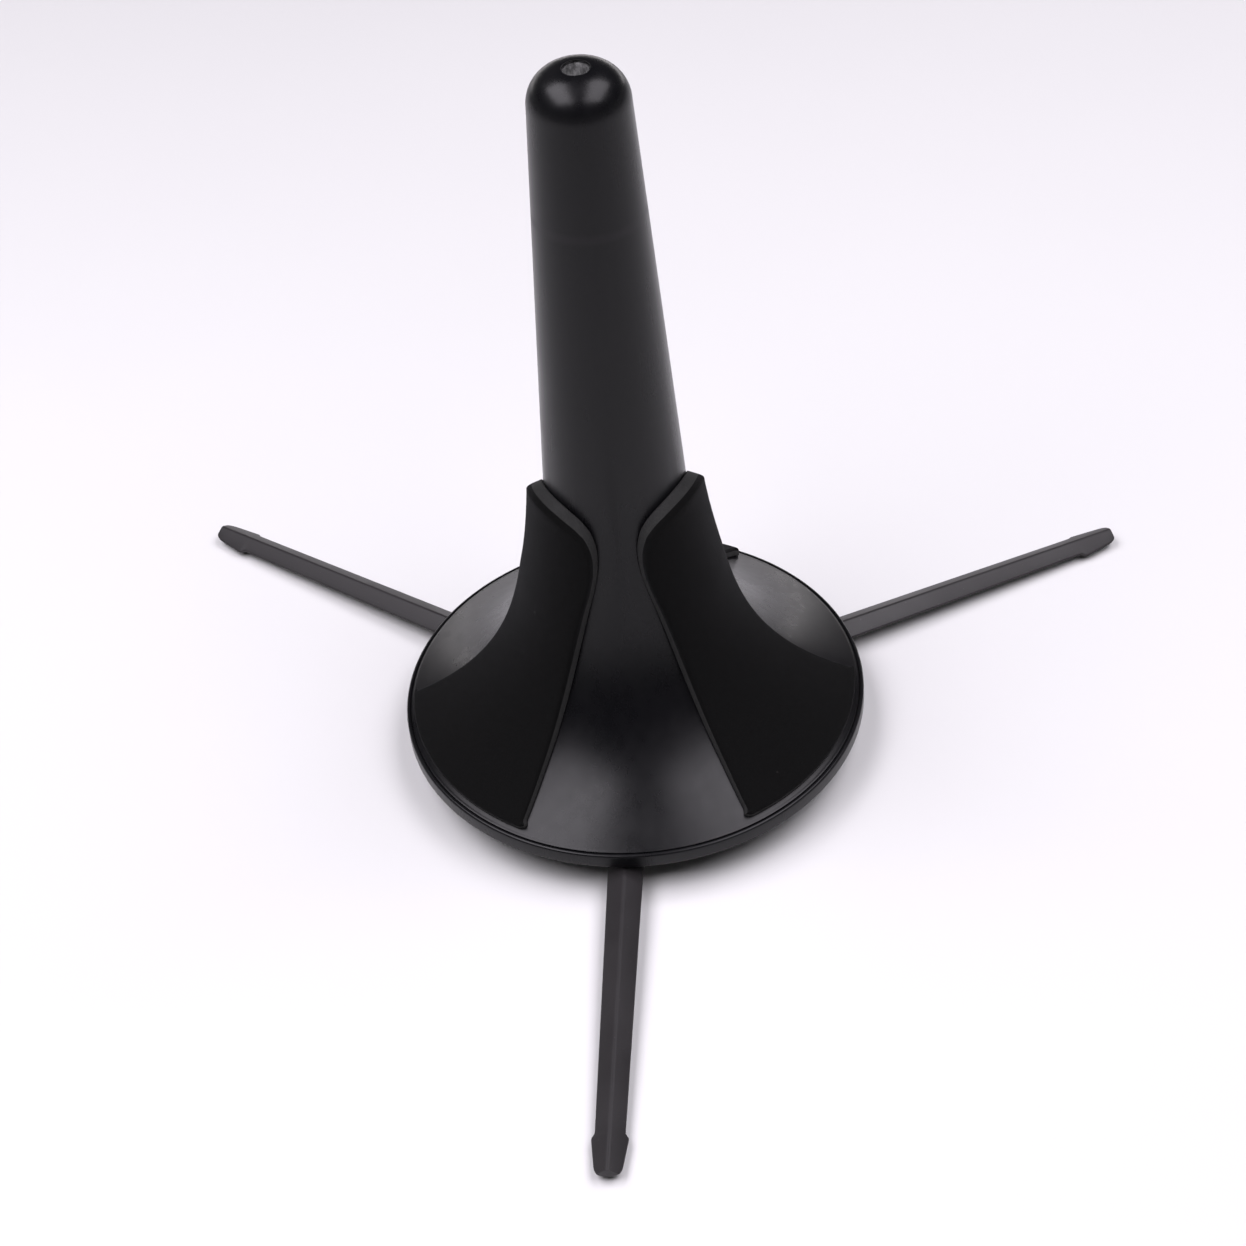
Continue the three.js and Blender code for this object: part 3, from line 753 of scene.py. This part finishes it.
def make_velvet():
    """Short black velvet: a fine pile, faint brushed patches and a few specks of lint."""
    n = Nodes("Velvet")
    pile = n.noise(7500, 2)
    nap = n.noise(55, 4, (1, 1, 0.5))
    lint = n.new("ShaderNodeTexVoronoi")
    lint.inputs["Scale"].default_value = 190
    n.link(n.place, lint.inputs["Vector"])
    pick = n.new("ShaderNodeSeparateXYZ")
    n.link(lint.outputs["Color"], pick.inputs["Vector"])
    chosen = n.between(pick.outputs["X"], 0.94, 0.95, 0, 1)
    speck = n.maths("MULTIPLY", n.between(lint.outputs["Distance"], 0.03, 0.07, 1, 0), chosen)
    base = n.mix(n.between(nap, 0.3, 0.7, 0, 1), (0.0015, 0.0015, 0.0015), (0.0026, 0.0026, 0.0026))
    base = n.mix(n.between(pile, 0.35, 0.65, 0, 0.6), base, (0.005, 0.005, 0.005))
    base = n.mix(speck, base, (0.035, 0.035, 0.034))
    rough = n.between(nap, 0.3, 0.7, 0.92, 1.0)
    normal = n.bump(pile, 0.7, 0.00018)
    return n.finish(
        base, rough, normal,
        Specular_IOR_Level=0.1, Sheen_Weight=0.05, Sheen_Roughness=0.4, Sheen_Tint=(0.8, 0.8, 0.85, 1),
    )


def make_pad_wall_painted_highlight():
    """A pad's walls, painted much lighter than the velvet face: a painted highlight for the light the
    walls catch.
    """
    n = Nodes("Pad edge")
    cells = n.noise(4200, 3)
    cloud = n.noise(160, 3)
    # The lighter grey of the walls is painted highlight, standing in for the light that falls on them
    base = n.mix(n.between(cells, 0.3, 0.7, 0, 1), (0.012, 0.012, 0.012), (0.026, 0.026, 0.0255))
    rough = n.between(cloud, 0.3, 0.7, 0.75, 0.9)
    normal = n.bump(cells, 0.5, 0.00012)
    return n.finish(base, rough, normal, Specular_IOR_Level=0.3)


def make_steel():
    """Plain steel with fine turning marks."""
    n = Nodes("Steel")
    turning = n.noise(2600, 2, (1, 1, 0.1))
    cloud = n.noise(300, 3)
    base = n.mix(n.between(cloud, 0.3, 0.7, 0, 1), (0.3, 0.3, 0.31), (0.42, 0.42, 0.43))
    rough = n.between(turning, 0.3, 0.7, 0.26, 0.4)
    normal = n.bump(turning, 0.1, 0.00003)
    return n.finish(base, rough, normal, Metallic=1.0)


def make_floor_material():
    """Pale matt paper."""
    n = Nodes("Pale floor")
    fibre = n.noise(900, 3)
    cloud = n.noise(3, 3)
    base = n.mix(n.between(cloud, 0.3, 0.7, 0, 1), (0.67, 0.67, 0.67), (0.69, 0.69, 0.688))
    rough = n.between(cloud, 0.3, 0.7, 0.85, 0.95)
    normal = n.bump(fibre, 0.05, 0.0001)
    return n.finish(base, rough, normal, Specular_IOR_Level=0.2)


# ---------------------------------------------------------------- camera, light and floor

CAMERA_ELEVATION = math.radians(42.54)
CAMERA_AZIMUTH = math.radians(0.447)
CAMERA_ROLL = math.radians(-5.516)
CAMERA_LENS = 77.76  # millimetres, on a sensor 36 mm wide
CAMERA_AIM = Vector((-0.00126, 0, 0.03364))
CAMERA_DISTANCE = 0.64462
LAMP_COLOUR = (0.97, 0.93, 1.0)
PANEL_COLOUR = (1.0, 0.95, 0.97)
# The sky's grey, from the horizon up
WORLD_STOPS = [(0.0, 0.6), (0.05, 0.35), (0.14, 0.07), (0.35, 0.05), (1.0, 0.05)]
FLOOR_RADII = (0.5, 1.5, 4.0, 12.0, 30.0)
FLOOR_STEPS = 64
FLOOR_DROP = 0.0001  # below the soles, so that the two don't share a plane


def make_camera():
    """A rolled camera that looks down at the stand from the front."""
    back = Vector((
        math.sin(CAMERA_AZIMUTH) * math.cos(CAMERA_ELEVATION),
        -math.cos(CAMERA_AZIMUTH) * math.cos(CAMERA_ELEVATION),
        math.sin(CAMERA_ELEVATION),
    ))
    level = Vector((0, 0, 1)).cross(back).normalized()
    up = back.cross(level)
    right = math.cos(CAMERA_ROLL) * level + math.sin(CAMERA_ROLL) * up
    top = math.cos(CAMERA_ROLL) * up - math.sin(CAMERA_ROLL) * level
    data = bpy.data.cameras.new("Camera")
    data.lens = CAMERA_LENS
    data.sensor_width = 36
    data.clip_start = 0.01
    camera = bpy.data.objects.new("Camera", data)
    axes = Matrix((right, top, back)).transposed().to_4x4()
    camera.matrix_world = Matrix.Translation(CAMERA_AIM + back * CAMERA_DISTANCE) @ axes
    bpy.context.scene.collection.objects.link(camera)
    bpy.context.scene.camera = camera


def make_area_light(name, place, width, height, radiance, colour, target):
    """A soft panel at a place, in metres, that faces a target."""
    away = (Vector(place) - Vector(target)).normalized()
    data = bpy.data.lights.new(name, "AREA")
    data.shape = "RECTANGLE"
    data.size, data.size_y = width, height
    data.energy = radiance * width * height * math.pi
    data.color = colour
    light = bpy.data.objects.new(name, data)
    light.matrix_world = Matrix.Translation(Vector(place)) @ (
        away.to_track_quat("Z", "Y").to_matrix().to_4x4()
    )
    bpy.context.scene.collection.objects.link(light)


def make_world():
    """Pale round the horizon and dim above it, so that the shell mirrors the softboxes."""
    world = bpy.data.worlds.new("Studio")
    world.use_nodes = True
    tree = world.node_tree
    background = tree.nodes["Background"]
    place = tree.nodes.new("ShaderNodeTexCoord")
    parts = tree.nodes.new("ShaderNodeSeparateXYZ")
    ramp = tree.nodes.new("ShaderNodeValToRGB")
    set_stops(ramp.color_ramp, WORLD_STOPS)
    tree.links.new(place.outputs["Generated"], parts.inputs["Vector"])
    tree.links.new(parts.outputs["Z"], ramp.inputs["Fac"])
    tree.links.new(ramp.outputs["Color"], background.inputs["Color"])
    background.inputs["Strength"].default_value = 1.0
    bpy.context.scene.world = world


def make_floor():
    """A wide round floor under the stand."""
    count = FLOOR_STEPS
    turns = [2 * math.pi * i / count for i in range(count)]
    rings = [[(r * math.cos(t), r * math.sin(t), 0) for t in turns] for r in FLOOR_RADII]
    mesh = bpy.data.meshes.new("floor")
    points = [(0, 0, 0)] + [p for ring in rings for p in ring]
    faces = [(0, 1 + i, 1 + (i + 1) % count) for i in range(count)]
    for k in range(len(rings) - 1):
        a, b = 1 + k * count, 1 + (k + 1) * count
        faces += [(a + i, b + i, b + (i + 1) % count, a + (i + 1) % count) for i in range(count)]
    mesh.from_pydata(points, [], faces)
    floor = bpy.data.objects.new("floor", mesh)
    floor.location.z = -FLOOR_DROP
    floor.data.materials.append(make_floor_material())
    bpy.context.scene.collection.objects.link(floor)


# ---------------------------------------------------------------- the stand

make_camera()
make_world()
make_floor()
make_area_light("Left softbox", (-0.54, -0.1, 0.95), 0.68, 1.05, 6.3, LAMP_COLOUR, (-0.54, -0.1, 0))
make_area_light("Right softbox", (0.54, -0.1, 0.95), 0.68, 1.05, 5.6, LAMP_COLOUR, (0.54, -0.1, 0))
make_area_light("Back panel", (0, 1.3, 0.06), 2.4, 0.12, 3.5, PANEL_COLOUR, (0, 0, 0.05))

shell_plastic = make_shell_plastic()
leg_plastic = make_leg_plastic()
velvet = make_velvet()
# The pads' walls: a painted highlight, lighter than the velvet
pad_wall_painted_highlight = make_pad_wall_painted_highlight()
steel = make_steel()

peg = make_peg()
peg.data.materials.append(shell_plastic)

for side, degrees in PAD_ANGLES.items():
    make_pad(side, degrees)

for side, degrees in LEG_ANGLES.items():
    leg = make_leg(side, degrees)
    leg.data.materials.append(leg_plastic)
    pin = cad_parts[f"hinge_pin_{side}"]
    pin.material_slots[0].material = steel

for node, name in (("hub_body", "hub"), ("hub_cover", "hub_underside")):
    part = make_softened(node, name, "hub")
    part.data.materials.append(shell_plastic)

for side in PAD_ANGLES:
    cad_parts[f"cover_screw_{side}"].material_slots[0].material = steel

bpy.context.scene.view_settings.view_transform = "Standard"
